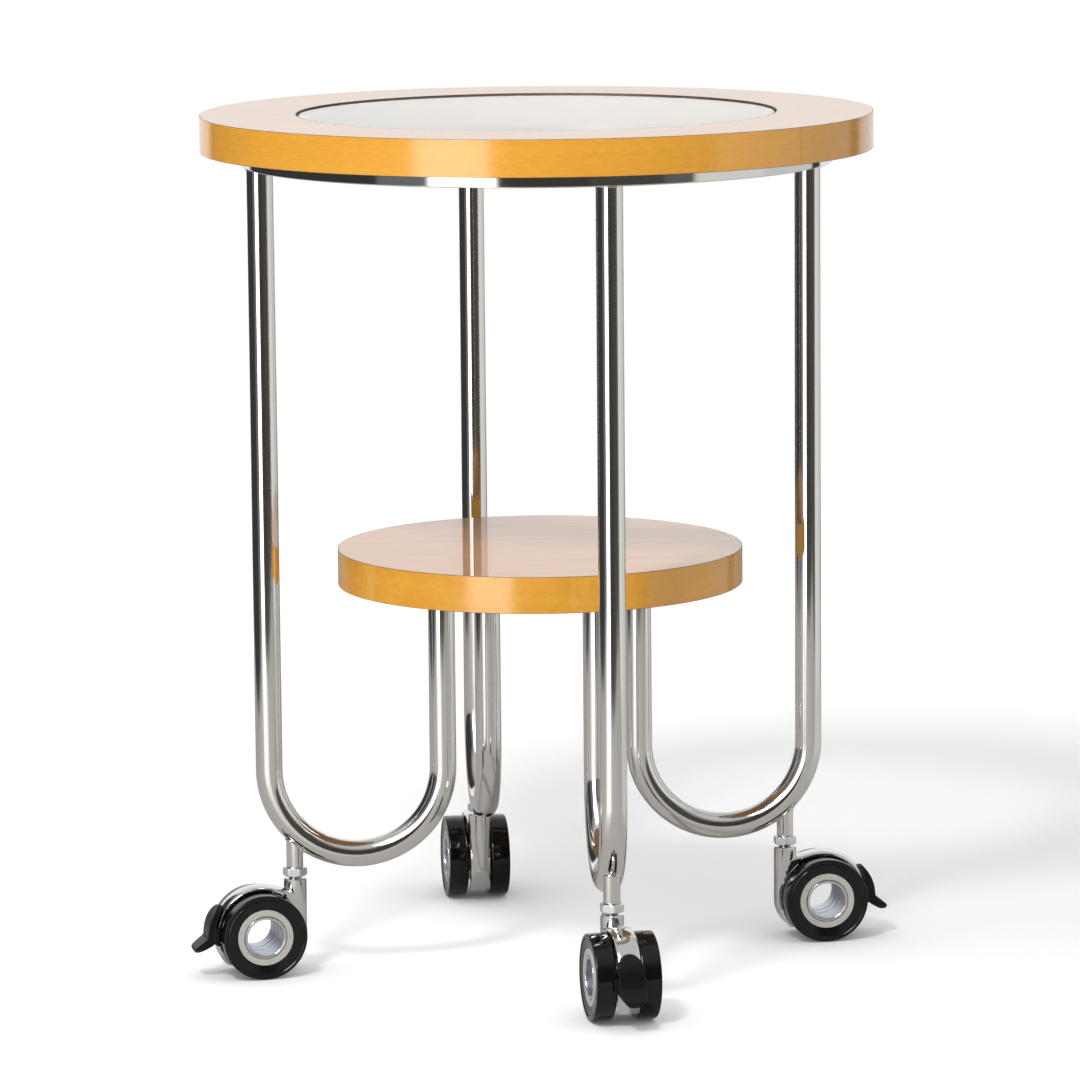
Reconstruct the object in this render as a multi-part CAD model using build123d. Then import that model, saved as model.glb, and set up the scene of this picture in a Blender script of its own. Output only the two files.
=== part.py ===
from build123d import *
import math
import os

# Rolling side table: a round veneered top with a glass disc let into it, a
# smaller round shelf, four J-bent chromed tubes set in a pinwheel, and four
# hollow-hub twin-wheel casters with foot brakes.
# Millimetres, +Z up. The origin is on the floor, under the centre of the top.

# Driving dimensions of the table
overall_height = 640.0
top_diameter = 500.0
shelf_diameter = 304.0
shelf_top_z = 314.0
board_thickness = 27.0
glass_opening_diameter = 356.0
tube_diameter = 20.0
tube_wall = 1.5
outer_limb_radius = 207.0
inner_limb_radius = 77.0
pinwheel_offset = 35.0
bend_centre_z = 154.0
socket_radius = 189.0
wheel_diameter = 64.0
caster_trail = 28.0

# Boards: core, face veneer and edge band
veneer_thickness = 0.8
band_thickness = 0.8
band_chamfer = 0.3
ledge_width = 10.0
recess_depth = 1.0

# Glass and the pads that it lies on
glass_thickness = 6.0
glass_gap = 1.0
glass_chamfer = 0.8
pad_thickness = 1.0
pad_diameter = 8.0
pad_count = 8

# Flat steel ring under the top
ring_outer_radius = 220.0
ring_width = 30.0
ring_height = 10.0
ring_chamfer = 0.6
screw_count = 8
screw_head_radius = 4.0
screw_shank_radius = 2.0
screw_length = 26.0
screw_head_height = 2.2
screw_head_recess = 0.2
screw_point_length = 4.0

# Shelf fixings: a stud on each inner limb, in an insert let into the shelf
plug_height = 10.0
stud_radius = 3.0
stud_length = 14.0
stud_chamfer = 1.0
stud_clearance = 0.05
insert_radius = 5.0
insert_length = 15.0

# Caster socket, lock nut and stem, M10
socket_outer_radius = 6.25
socket_top_z = 110.0
socket_bottom_z = 79.8
socket_chamfer = 0.5
socket_clearance = 0.05
thread_radius = 5.0
thread_clearance = 0.05
thread_top_z = 102.0
nut_across_flats = 16.0
nut_height = 6.5
nut_rim_inset = 0.3
journal_radius = 4.4
journal_bottom_z = 44.0
journal_chamfer = 0.6
thread_chamfer = 1.0
shoulder_gap = 0.1
ring_groove_z = 50.0
ring_groove_height = 1.6
ring_groove_radius = 3.6
grip_ring_height = 1.4
grip_ring_radius = 5.2
grip_ring_slit = 1.6
grip_ring_play = 0.1

# Caster housing, measured from the wheel axle
hood_radius = 35.0
hood_lift = 1.0
hood_half_width = 8.6
crown_half_width = 7.9
crown_drop = 1.2
hood_edge_drop = 2.0
arm_angle = 103.2
arm_length = 20.5
arm_thickness = 3.6
housing_floor_gap = 9.5
boss_radius = 8.6
boss_top_z = 71.5
boss_chamfer = 0.8
belly_radius = 33.5
belly_centre_h = 2.0
waist_depth = 1.2
waist_half_width = 7.3
web_half_width = 3.0
pocket_radius = 32.8
hub_ring_radius = 19.0
hub_ring_half_width = 8.2

# Wheels: a disc on a hollow axle, and a tyre round it
wheel_inner_face = 8.6
wheel_outer_face = 24.0
tyre_seat_radius = 25.0
hub_face_radius = 21.0
hub_face_y = 23.3
hub_face_chamfer = 0.3
hub_mouth_chamfer = 1.6
disc_rim_step = 1.0
disc_inner_gap = 0.2
tyre_lap = 1.8
tyre_lap_gap = 0.15
tread_crown = 0.3
tyre_inner_round = 2.5
tyre_outer_round = 3.6
sleeve_outer_radius = 14.45
sleeve_bore_radius = 13.7
sleeve_lip_flare = 1.4
sleeve_lip_edge = 0.2
running_clearance = 0.05

# Brake lever: a rocker on a pin, with a shoe that swings on to the treads
lever_half_width = 9.4
lever_travel = 12.0
lever_hood_gap = 0.5
lever_pin_radius = 1.5
lever_pin_chamfer = 0.3
lever_pin_recess = 0.2
lever_pin_s = 28.5
lever_pin_h = 1.0
pin_ear_radius = 3.4
pedal_face_middle = 4.9
pedal_face_height = 35.6
pedal_straight_part = 14.6
knuckle_radius = 4.2
window_web_radius = 30.0
window_high_angle = 12.5
window_low_angle = -13.0
cheek_inner_y = 3.3
cheek_outer_y = 7.0
shoe_half_width = 11.5
shoe_radius = 33.3
shoe_outer_radius = 36.0
shoe_low_angle = -8.8
shoe_high_angle = 9.5

# Values that follow from those above
top_z = overall_height
top_underside_z = top_z - board_thickness
ledge_z = top_z - recess_depth - glass_thickness - pad_thickness
ring_underside_z = top_underside_z - ring_height
shelf_underside_z = shelf_top_z - board_thickness
bend_radius = (outer_limb_radius - inner_limb_radius) / 2
bend_centre_radius = (outer_limb_radius + inner_limb_radius) / 2
opening_radius = glass_opening_diameter / 2
wheel_radius = wheel_diameter / 2

# The four legs stand a quarter turn apart. The second number is how far each
# caster has swivelled from pointing straight out.
legs = {
    "right": (0.0, 5.5),
    "back": (90.0, 3.5),
    "left": (180.0, 10.5),
    "front": (270.0, 7.0),
}

os.makedirs("parts", exist_ok=True)


def save(name, *solids):
    """Write one node, as one solid or as a group of separate solids."""
    shapes = [one for shape in solids for one in shape.solids()]
    node = shapes[0] if len(shapes) == 1 else Compound(children=shapes)
    node.label = name
    export_step(node, f"parts/{name}.step")


def tube(outer, inner, bottom, top):
    """Upright hollow cylinder about the Z axis."""
    height = top - bottom
    ring = Circle(outer) - Circle(inner)
    return Pos(0, 0, bottom) * extrude(ring, height)


def rod(radius, bottom, top):
    """Upright solid cylinder about the Z axis."""
    return Pos(0, 0, bottom) * extrude(Circle(radius), top - bottom)


def turned(profile_points, axis=Axis.Z):
    """Solid of revolution from a closed outline of (radius, height) points."""
    outline = Polyline([(r, 0, h) for r, h in profile_points], close=True)
    return revolve(make_face(outline), axis)


def level_edges(solid, z, radius):
    """The circular edges of a turned solid at one height and radius."""
    found = solid.edges().filter_by(GeomType.CIRCLE)
    return [
        e for e in found
        if abs(e.arc_center.Z - z) < 0.01 and abs(e.radius - radius) < 0.01
    ]


def placed(solid, radius, offset, leg_angle):
    """Move a piece made at the origin to a point beside one leg."""
    return Rot(0, 0, leg_angle) * Pos(radius, offset, 0) * solid


# Top board: a ring with a ledge for the glass, a face veneer and edge bands

core_radius = top_diameter / 2 - band_thickness
core_opening_radius = opening_radius + band_thickness
core_top_z = top_z - veneer_thickness
ledge_radius = opening_radius - ledge_width
screw_circle_radius = ring_outer_radius - ring_width / 2
screw_angles = [90 * k + a for k in range(4) for a in (35.0, 75.0)]
screw_tip_z = ring_underside_z + screw_length
screw_head_z = ring_underside_z + screw_head_recess


def at_screws(solid):
    """Copies of a piece at each of the ring's screw places."""
    return [Rot(0, 0, a) * Pos(screw_circle_radius, 0, 0) * solid for a in screw_angles]


def top_board():
    board = turned([
        (ledge_radius, top_underside_z),
        (core_radius, top_underside_z),
        (core_radius, core_top_z),
        (core_opening_radius, core_top_z),
        (core_opening_radius, ledge_z),
        (ledge_radius, ledge_z),
    ])
    for hole in at_screws(rod(screw_shank_radius, top_underside_z - 1, screw_tip_z)):
        board -= hole
    return board


def top_veneer():
    return tube(core_radius, core_opening_radius, core_top_z, top_z)


def edge_band(radius, bottom, top):
    """Band glued round the outside of a board, its corners just broken."""
    band = tube(radius, radius - band_thickness, bottom, top)
    rims = level_edges(band, bottom, radius) + level_edges(band, top, radius)
    return chamfer(rims, band_chamfer)


def opening_band():
    """Band glued inside the glass opening, above the ledge."""
    return tube(core_opening_radius, opening_radius, ledge_z, top_z)


# Glass disc on clear pads

def glass_disc():
    bottom = ledge_z + pad_thickness
    disc = rod(opening_radius - glass_gap, bottom, bottom + glass_thickness)
    return chamfer(disc.edges().filter_by(GeomType.CIRCLE), glass_chamfer)


def glass_pads():
    pad = rod(pad_diameter / 2, ledge_z, ledge_z + pad_thickness)
    radius = (ledge_radius + opening_radius) / 2
    turns = [360 / pad_count * k for k in range(pad_count)]
    return [Rot(0, 0, turn) * Pos(radius, 0, 0) * pad for turn in turns]


# Flat steel ring, screwed up into the top from below

def ring_screw():
    return turned([
        (0, screw_head_z),
        (screw_head_radius, screw_head_z),
        (screw_shank_radius, screw_head_z + screw_head_height),
        (screw_shank_radius, screw_tip_z - screw_point_length),
        (0, screw_tip_z),
    ])


def support_ring():
    inner_radius = ring_outer_radius - ring_width
    ring = tube(ring_outer_radius, inner_radius, ring_underside_z, top_underside_z)
    rims = level_edges(ring, ring_underside_z, ring_outer_radius)
    rims += level_edges(ring, ring_underside_z, inner_radius)
    ring = chamfer(rims, ring_chamfer)
    seat = turned([
        (0, ring_underside_z - 1),
        (screw_head_radius, ring_underside_z - 1),
        (screw_head_radius, screw_head_z),
        (screw_shank_radius, screw_head_z + screw_head_height),
        (screw_shank_radius, top_underside_z + 1),
        (0, top_underside_z + 1),
    ])
    for cut in at_screws(seat):
        ring -= cut
    return ring


# Leg: one tube from the ring, down, round the bend and up under the shelf

def leg_tube():
    """Two straight limbs joined by a half turn, with a hole for the socket."""
    wall = Circle(tube_diameter / 2) - Circle(tube_diameter / 2 - tube_wall)
    outer_end = Pos(outer_limb_radius, pinwheel_offset, bend_centre_z)
    inner_end = Pos(inner_limb_radius, pinwheel_offset, bend_centre_z)
    bend_axis = Axis((bend_centre_radius, pinwheel_offset, bend_centre_z), (0, 1, 0))
    leg = extrude(outer_end * wall, ring_underside_z - bend_centre_z)
    leg += revolve(outer_end * wall, bend_axis, 180)
    leg += extrude(inner_end * wall, shelf_underside_z - bend_centre_z)
    hole = rod(socket_outer_radius + socket_clearance, socket_bottom_z - 20, socket_top_z)
    return leg - Pos(socket_radius, pinwheel_offset, 0) * hole


def caster_socket():
    """Weld-in socket, tapped from below for the caster's stem."""
    socket = rod(socket_outer_radius, socket_bottom_z, socket_top_z)
    socket = chamfer(socket.edges().filter_by(GeomType.CIRCLE), socket_chamfer)
    bore = rod(thread_radius + thread_clearance, socket_bottom_z - 1, thread_top_z + 2)
    return socket - bore


# Shelf, held by a stud on each inner limb

shelf_core_radius = shelf_diameter / 2 - band_thickness
shelf_core_top_z = shelf_top_z - veneer_thickness


def at_inner_limbs(solid):
    """Copies of a piece on the axis of each leg's inner limb."""
    return [placed(solid, inner_limb_radius, pinwheel_offset, turn) for turn, _ in legs.values()]


def shelf_board():
    board = rod(shelf_core_radius, shelf_underside_z, shelf_core_top_z)
    pocket = rod(insert_radius, shelf_underside_z - 1, shelf_underside_z + insert_length)
    for cut in at_inner_limbs(pocket):
        board -= cut
    return board


def shelf_veneer():
    return rod(shelf_core_radius, shelf_core_top_z, shelf_top_z)


def shelf_stud():
    """Plug welded in the tube's end, with a stud standing out of it."""
    plug_radius = tube_diameter / 2 - tube_wall
    return turned([
        (0, shelf_underside_z - plug_height),
        (plug_radius, shelf_underside_z - plug_height),
        (plug_radius, shelf_underside_z),
        (stud_radius, shelf_underside_z),
        (stud_radius, shelf_underside_z + stud_length - stud_chamfer),
        (stud_radius - stud_chamfer, shelf_underside_z + stud_length),
        (0, shelf_underside_z + stud_length),
    ])


def shelf_insert():
    top = shelf_underside_z + insert_length
    return tube(insert_radius, stud_radius + stud_clearance, shelf_underside_z, top)


# Lock nut, stem and grip ring, one set on each caster's swivel axis

def hex_nut(across_flats, bore_radius, bottom, height):
    """Hexagon nut with the corners turned off at both ends."""
    corner_radius = across_flats / math.sqrt(3)
    flat = Circle(bore_radius)
    blank = RegularPolygon(across_flats / 2, 6, major_radius=False) - flat
    nut = Pos(0, 0, bottom) * extrude(blank, height)
    rim = across_flats / 2 - nut_rim_inset
    drop = (corner_radius - rim) * math.tan(math.radians(30))
    return nut & turned([
        (0, bottom),
        (rim, bottom),
        (corner_radius, bottom + drop),
        (corner_radius, bottom + height - drop),
        (rim, bottom + height),
        (0, bottom + height),
    ])


def lock_nut():
    bottom = socket_bottom_z - nut_height
    return hex_nut(nut_across_flats, thread_radius + thread_clearance, bottom, nut_height)


def caster_stem():
    shoulder_z = boss_top_z + shoulder_gap
    groove_top = ring_groove_z + ring_groove_height
    return turned([
        (0, journal_bottom_z),
        (journal_radius - journal_chamfer, journal_bottom_z),
        (journal_radius, journal_bottom_z + journal_chamfer),
        (journal_radius, ring_groove_z),
        (ring_groove_radius, ring_groove_z),
        (ring_groove_radius, groove_top),
        (journal_radius, groove_top),
        (journal_radius, shoulder_z),
        (thread_radius, shoulder_z),
        (thread_radius, thread_top_z - thread_chamfer),
        (thread_radius - thread_chamfer, thread_top_z),
        (0, thread_top_z),
    ])


def grip_ring():
    """Open spring ring that snaps into the housing and holds the stem."""
    bottom = ring_groove_z + grip_ring_play
    bore = ring_groove_radius + grip_ring_play / 2
    ring = tube(grip_ring_radius, bore, bottom, bottom + grip_ring_height)
    slit = Box(2 * grip_ring_radius, grip_ring_slit, 4 * grip_ring_height)
    return ring - Pos(grip_ring_radius, 0, bottom) * slit


# Caster pieces. Each is drawn with the axle at the origin along Y, the trail
# along +X and the stem at X = -caster_trail, then moved to its place.

def drawn(outline_points):
    """Face in the caster's side view from (along, up) points."""
    return make_face(Polyline([(s, 0, h) for s, h in outline_points], close=True))


def thick(face, low_y, high_y):
    """A side-view face given thickness between two planes across the caster."""
    return Pos(0, low_y, 0) * extrude(face, high_y - low_y, dir=(0, 1, 0))


def turned_about_axle(profile_points):
    """Solid of revolution about the axle from (radius, across) points."""
    outline = Polyline([(r, y, 0) for r, y in profile_points], close=True)
    return revolve(make_face(outline), Axis.Y)


def across(radius, length):
    """Cylinder lying across the caster, centred on the axle."""
    return Rot(90, 0, 0) * Cylinder(radius, length)


def arc(*points):
    """Arc through three points of the caster's side view."""
    return ThreePointArc(*[(s, 0, h) for s, h in points])


def straight(start, end):
    """Straight edge between two points of the caster's side view."""
    return Line((start[0], 0, start[1]), (end[0], 0, end[1]))


def mirrored(solid):
    return mirror(solid, Plane.XZ)


def both_sides(solid):
    return [solid, mirrored(solid)]


def stem_rod(radius, bottom, top):
    """Cylinder on the stem's axis, between two heights above the floor."""
    return Pos(-caster_trail, 0, -wheel_radius) * rod(radius, bottom, top)


def hood_section():
    """Crowned section of the hood, from the axle out to its rim."""
    edge = hood_radius - hood_edge_drop
    crown = hood_radius - crown_drop
    return make_face(Wire([
        Line((0, -hood_half_width), (edge, -hood_half_width)),
        Line((edge, -hood_half_width), (crown, -crown_half_width)),
        ThreePointArc((crown, -crown_half_width), (hood_radius, 0), (crown, crown_half_width)),
        Line((crown, crown_half_width), (edge, hood_half_width)),
        Line((edge, hood_half_width), (0, hood_half_width)),
        Line((0, hood_half_width), (0, -hood_half_width)),
    ]))


def hood():
    """Crowned disc round the axle, and the arm that leaves it at a tangent."""
    centre = Pos(0, 0, hood_lift)
    turn = math.radians(arm_angle)
    along_arm = (-math.sin(turn), 0, math.cos(turn))
    arm = extrude(Rot(0, -arm_angle, 0) * hood_section(), arm_length, dir=along_arm)
    return centre * (revolve(hood_section(), Axis.Y) + arm)


def stem_boss():
    """Upright boss round the stem, its back running down between the wheels."""
    top = boss_top_z - wheel_radius
    boss = stem_rod(boss_radius, 0, boss_top_z)
    boss = chamfer(boss.edges().group_by(Axis.Z)[-1], boss_chamfer)
    back = -caster_trail - boss_radius
    front = back + belly_radius
    turn = math.radians(45)
    halfway = (front - belly_radius * math.cos(turn), belly_centre_h - belly_radius * math.sin(turn))
    keel = (front, belly_centre_h - belly_radius)
    boss &= thick(make_face(Wire([
        straight((front, top + 1), (back, top + 1)),
        straight((back, top + 1), (back, belly_centre_h)),
        arc((back, belly_centre_h), halfway, keel),
        straight(keel, (front, top + 1)),
    ])), -boss_radius, boss_radius)
    return boss


def waist():
    """What narrows the back of the housing between the wheels."""
    waist_radius = (wheel_radius**2 + waist_depth**2) / (2 * waist_depth)
    length = 50.0
    place = Pos(-1.5 * caster_trail, boss_radius - waist_depth + waist_radius, 0)
    return place * Rot(0, 90, 0) * Cylinder(waist_radius, length)


def side_pockets():
    """What the wheels and the open sides take out of the housing."""
    shoulder = 1.2
    reach = 30.0
    wheel_room = turned_about_axle([
        (0, waist_half_width),
        (pocket_radius - shoulder, waist_half_width),
        (pocket_radius, waist_half_width + shoulder),
        (pocket_radius, reach),
        (0, reach),
    ])
    boss_front = boss_radius - caster_trail
    web_side = turned_about_axle([
        (0, web_half_width),
        (pocket_radius - shoulder, web_half_width),
        (pocket_radius - shoulder, reach),
        (0, reach),
    ])
    turn = math.radians(arm_angle)
    under_arm = hood_radius - arm_thickness
    arm_start = (under_arm * math.cos(turn), hood_lift + under_arm * math.sin(turn))
    arm_drop = (arm_start[0] - boss_front) / math.tan(turn)
    corner = thick(drawn([
        (boss_front, 0),
        (boss_front, arm_start[1] + arm_drop),
        arm_start,
        (arm_start[0], 0),
    ]), web_half_width, reach)
    collar = Rot(-90, 0, 0) * extrude(Circle(hub_ring_radius), hub_ring_half_width)
    return wheel_room + (web_side + corner - stem_rod(boss_radius, 0, boss_top_z)) - collar


def sector(radius, low_angle, high_angle):
    """Side-view wedge about the axle between two angles above the trail."""
    middle = (low_angle + high_angle) / 2
    points = [(0, 0)]
    for a in (low_angle, middle, high_angle):
        points.append((radius * math.cos(math.radians(a)), radius * math.sin(math.radians(a))))
    return drawn(points)


def caster_housing():
    housing = hood() + stem_boss()
    lowest = housing_floor_gap - wheel_radius
    housing -= Pos(0, 0, lowest - 50) * Box(200, 60, 100)
    for cut in both_sides(side_pockets() + waist()):
        housing -= cut
    ear = Pos(lever_pin_s, 0, lever_pin_h) * across(pin_ear_radius, 2 * web_half_width)
    window = thick(sector(60, window_low_angle, window_high_angle), -20, 20)
    housing -= window - across(window_web_radius, 60) - ear
    housing -= across(sleeve_outer_radius, 60)
    housing -= Pos(lever_pin_s, 0, lever_pin_h) * across(lever_pin_radius, 60)
    bore_bottom = journal_bottom_z - 1
    housing -= stem_rod(journal_radius + running_clearance, bore_bottom, boss_top_z + 1)
    groove_bottom = ring_groove_z - grip_ring_play
    groove_top = ring_groove_z + ring_groove_height + grip_ring_play
    housing -= stem_rod(grip_ring_radius + 1.5 * grip_ring_play, groove_bottom, groove_top)
    return max(housing.solids(), key=lambda s: s.volume)


def axle_sleeve():
    """Half of the hollow axle: a thin bush with a flared lip at its mouth."""
    return turned_about_axle([
        (sleeve_bore_radius, 0),
        (sleeve_outer_radius, 0),
        (sleeve_outer_radius, hub_face_y - sleeve_lip_flare),
        (sleeve_outer_radius + sleeve_lip_flare, hub_face_y),
        (sleeve_outer_radius + sleeve_lip_flare, hub_face_y + sleeve_lip_edge),
        (sleeve_bore_radius + sleeve_lip_flare - sleeve_lip_edge, hub_face_y + sleeve_lip_edge),
        (sleeve_bore_radius, hub_face_y - sleeve_lip_flare + 2 * sleeve_lip_edge),
    ])


def wheel_disc():
    bore = sleeve_outer_radius + running_clearance
    step_radius = hub_ring_radius + disc_rim_step
    step_y = wheel_inner_face + disc_rim_step
    lap_y = hub_face_y - tyre_lap
    return turned_about_axle([
        (bore, wheel_inner_face + disc_inner_gap),
        (step_radius, wheel_inner_face + disc_inner_gap),
        (step_radius, step_y),
        (tyre_seat_radius, step_y),
        (tyre_seat_radius, lap_y),
        (hub_face_radius, lap_y),
        (hub_face_radius, hub_face_y - hub_face_chamfer),
        (hub_face_radius - hub_face_chamfer, hub_face_y),
        (bore + hub_mouth_chamfer, hub_face_y),
        (bore, hub_face_y - hub_mouth_chamfer),
    ])


def across_arc(*points):
    """Arc through three (radius, across) points of a wheel's section."""
    return ThreePointArc(*[(r, y, 0) for r, y in points])


def across_line(start, end):
    """Straight edge between two (radius, across) points of a wheel's section."""
    return Line((start[0], start[1], 0), (end[0], end[1], 0))


def tyre():
    """Tyre with a crowned tread, round shoulders and a lip over the disc."""
    inner = wheel_inner_face
    outer = wheel_outer_face
    seat = tyre_seat_radius
    edge = wheel_radius - tread_crown
    corner = 1 - math.sqrt(0.5)
    bead = (seat, inner + tread_crown)
    inner_wall = (seat + disc_rim_step, inner)
    inner_shoulder = (edge - tyre_inner_round, inner)
    inner_turn = (edge - corner * tyre_inner_round, inner + corner * tyre_inner_round)
    tread_start = (edge, inner + tyre_inner_round)
    tread_middle = (wheel_radius, (inner + outer) / 2)
    tread_end = (edge, outer - tyre_outer_round)
    outer_turn = (edge - corner * tyre_outer_round, outer - corner * tyre_outer_round)
    outer_shoulder = (edge - tyre_outer_round, outer)
    wall_middle = (edge - tyre_outer_round - 3.0, outer - 0.1)
    lip = (hub_face_radius + tyre_lap_gap, hub_face_y - tyre_lap_gap - hub_face_chamfer)
    lip_root = (lip[0], hub_face_y - tyre_lap)
    seat_end = (seat, hub_face_y - tyre_lap)
    seat_start = (seat, inner + disc_rim_step)
    profile = Wire([
        across_line(seat_start, bead),
        across_line(bead, inner_wall),
        across_line(inner_wall, inner_shoulder),
        across_arc(inner_shoulder, inner_turn, tread_start),
        across_arc(tread_start, tread_middle, tread_end),
        across_arc(tread_end, outer_turn, outer_shoulder),
        across_arc(outer_shoulder, wall_middle, lip),
        across_line(lip, lip_root),
        across_line(lip_root, seat_end),
        across_line(seat_end, seat_start),
    ])
    return revolve(make_face(profile), Axis.Y)


def lever_pin():
    pin = across(lever_pin_radius, 2 * (cheek_outer_y - lever_pin_recess))
    rims = pin.edges().filter_by(GeomType.CIRCLE)
    return Pos(lever_pin_s, 0, lever_pin_h) * chamfer(rims, lever_pin_chamfer)


def round_hood(angle):
    """Point on the pedal's inner face, just clear of the hood."""
    reach = hood_radius + lever_hood_gap
    turn = math.radians(angle)
    return (reach * math.cos(turn), hood_lift + reach * math.sin(turn))


def pedal():
    """Curved plate over the hood, ending in a lip that stands out and down."""
    top = (31.8, 22.5)
    top_edge = (30.2, 23.2)
    back = (38.7, 11.5)
    back_low = (40.9, 0.4)
    lip_turn = (41.4, -1.1)
    lip_root = (42.4, -2.1)
    lip_end = (49.2, -7.3)
    lip_nose = (50.3, -11.2)
    lip_under = (46.7, -12.6)
    throat = (39.6, -8.4)
    throat_turn = (37.0, -6.6)
    inner_low = round_hood(-9)
    inner_middle = round_hood(14)
    inner_high = round_hood(36)
    plate = thick(make_face(Wire([
        arc(top, back, back_low),
        arc(back_low, lip_turn, lip_root),
        straight(lip_root, lip_end),
        arc(lip_end, lip_nose, lip_under),
        straight(lip_under, throat),
        arc(throat, throat_turn, inner_low),
        arc(inner_low, inner_middle, inner_high),
        arc(inner_high, top_edge, top),
    ])), -lever_half_width, lever_half_width)
    end_height = (pedal_face_height - pedal_straight_part) / 2
    face = Rectangle(2 * lever_half_width, pedal_straight_part)
    for end in (-1, 1):
        face += Pos(0, end * pedal_straight_part / 2) * Ellipse(lever_half_width, end_height)
    face = Pos(20, 0, pedal_face_middle) * (Plane.YZ * face)
    return plate & extrude(face, 40)


def rocker():
    """Cheeks round the pin and the brake shoe, in one with the pedal."""
    cheek_outline = [(27.0, 5.0), (32.0, 6.2), (36.0, 6.0), (36.2, -4.4), (32.6, -5.2), (27.5, -3.1)]
    knuckle = Pos(lever_pin_s, 0, lever_pin_h) * across(knuckle_radius, 2 * cheek_outer_y)
    cheeks = thick(drawn(cheek_outline), -cheek_outer_y, cheek_outer_y)
    shoe = sector(shoe_outer_radius, shoe_low_angle, shoe_high_angle)
    shoe = thick(shoe, -shoe_half_width, shoe_half_width)
    shoe -= across(shoe_radius, 60)
    return knuckle + cheeks + shoe


def brake_lever():
    """Pedal and rocker, slotted for the web over the lever's whole travel."""
    lever = pedal() + rocker()
    at_pin = Pos(lever_pin_s, 0, lever_pin_h)
    slot = across(window_web_radius + 0.6, 2 * cheek_inner_y)
    pressed_slot = at_pin * Rot(0, -lever_travel, 0) * at_pin.inverse() * slot
    lever -= slot + pressed_slot + at_pin * across(pin_ear_radius + 0.5, 2 * cheek_inner_y)
    return lever - at_pin * across(lever_pin_radius + running_clearance, 60)


def caster_place(leg_angle, swivel_angle):
    """Where a caster's pieces go: under the socket, turned by its swivel."""
    stem = Rot(0, 0, leg_angle) * Pos(socket_radius, pinwheel_offset, 0)
    return stem * Rot(0, 0, swivel_angle) * Pos(caster_trail, 0, wheel_radius)


def at_stems(solid):
    """Copies of a piece on each caster's swivel axis."""
    return [placed(solid, socket_radius, pinwheel_offset, turn) for turn, _ in legs.values()]


def build():
    save("top_board", top_board())
    save("top_veneer", top_veneer())
    save("top_edge_band", edge_band(top_diameter / 2, top_underside_z, top_z))
    save("opening_edge_band", opening_band())
    save("glass_disc", glass_disc())
    save("glass_pads", *glass_pads())
    save("support_ring", support_ring())
    save("ring_screws", *at_screws(ring_screw()))
    save("shelf_board", shelf_board())
    save("shelf_veneer", shelf_veneer())
    save("shelf_edge_band", edge_band(shelf_diameter / 2, shelf_underside_z, shelf_top_z))
    save("shelf_studs", *at_inner_limbs(shelf_stud()))
    save("shelf_inserts", *at_inner_limbs(shelf_insert()))
    save("lock_nuts", *at_stems(lock_nut()))
    save("caster_stems", *at_stems(caster_stem()))
    save("grip_rings", *at_stems(grip_ring()))

    leg = leg_tube()
    socket = caster_socket()
    housing = caster_housing()
    sleeve = axle_sleeve()
    disc = wheel_disc()
    tread = tyre()
    lever = brake_lever()
    pin = lever_pin()
    for name, (leg_angle, swivel_angle) in legs.items():
        save(f"leg_tube_{name}", Rot(0, 0, leg_angle) * leg)
        save(f"caster_socket_{name}", placed(socket, socket_radius, pinwheel_offset, leg_angle))
        place = caster_place(leg_angle, swivel_angle)
        save(f"caster_housing_{name}", place * housing)
        save(f"axle_sleeves_{name}", *[place * half for half in both_sides(sleeve)])
        save(f"brake_lever_{name}", place * lever)
        save(f"lever_pin_{name}", place * pin)
        for side, turn in (("a", disc), ("b", mirrored(disc))):
            save(f"wheel_disc_{name}_{side}", place * turn)
        for side, turn in (("a", tread), ("b", mirrored(tread))):
            save(f"tyre_{name}_{side}", place * turn)


build()
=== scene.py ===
import bpy
import bmesh
import math
from mathutils import Matrix, Vector


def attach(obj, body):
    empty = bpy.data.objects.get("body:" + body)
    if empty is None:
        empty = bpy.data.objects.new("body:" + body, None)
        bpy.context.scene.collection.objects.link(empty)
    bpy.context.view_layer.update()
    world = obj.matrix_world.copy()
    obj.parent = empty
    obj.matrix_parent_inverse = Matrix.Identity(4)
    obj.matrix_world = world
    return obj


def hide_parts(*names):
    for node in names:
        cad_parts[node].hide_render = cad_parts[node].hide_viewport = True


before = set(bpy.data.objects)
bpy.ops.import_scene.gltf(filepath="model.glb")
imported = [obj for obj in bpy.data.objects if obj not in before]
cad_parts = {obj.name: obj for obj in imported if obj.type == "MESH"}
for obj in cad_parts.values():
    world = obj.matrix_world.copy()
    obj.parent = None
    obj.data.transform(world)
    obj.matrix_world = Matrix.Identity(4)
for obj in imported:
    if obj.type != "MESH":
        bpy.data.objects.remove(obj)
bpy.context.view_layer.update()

# Studio. The camera stands a little to the left of the front leg and looks
# down at the table from 4.25 m with a long lens. The table stands on white
# paper that ends 1.4 m in front of it.
camera_distance = 4.25109
camera_height = 0.97575
camera_turn = math.radians(4.5232)
camera_pitch = math.radians(8.7966)
camera_roll = math.radians(-0.5009)

camera = bpy.data.objects.new("camera", bpy.data.cameras.new("camera"))
bpy.context.scene.collection.objects.link(camera)
camera.data.sensor_width = 36.0
camera.data.lens = 190.94
camera.data.clip_end = 60.0
facing = Matrix.Rotation(-camera_turn, 4, "Z")
stand = facing @ Vector((0, -camera_distance, camera_height))
tilt = Matrix.Rotation(math.pi / 2 - camera_pitch, 4, "X")
roll = Matrix.Rotation(camera_roll, 4, "Z")
camera.matrix_world = Matrix.Translation(stand) @ facing @ tilt @ roll
bpy.context.scene.camera = camera
bpy.context.scene.view_settings.view_transform = "Standard"


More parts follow.
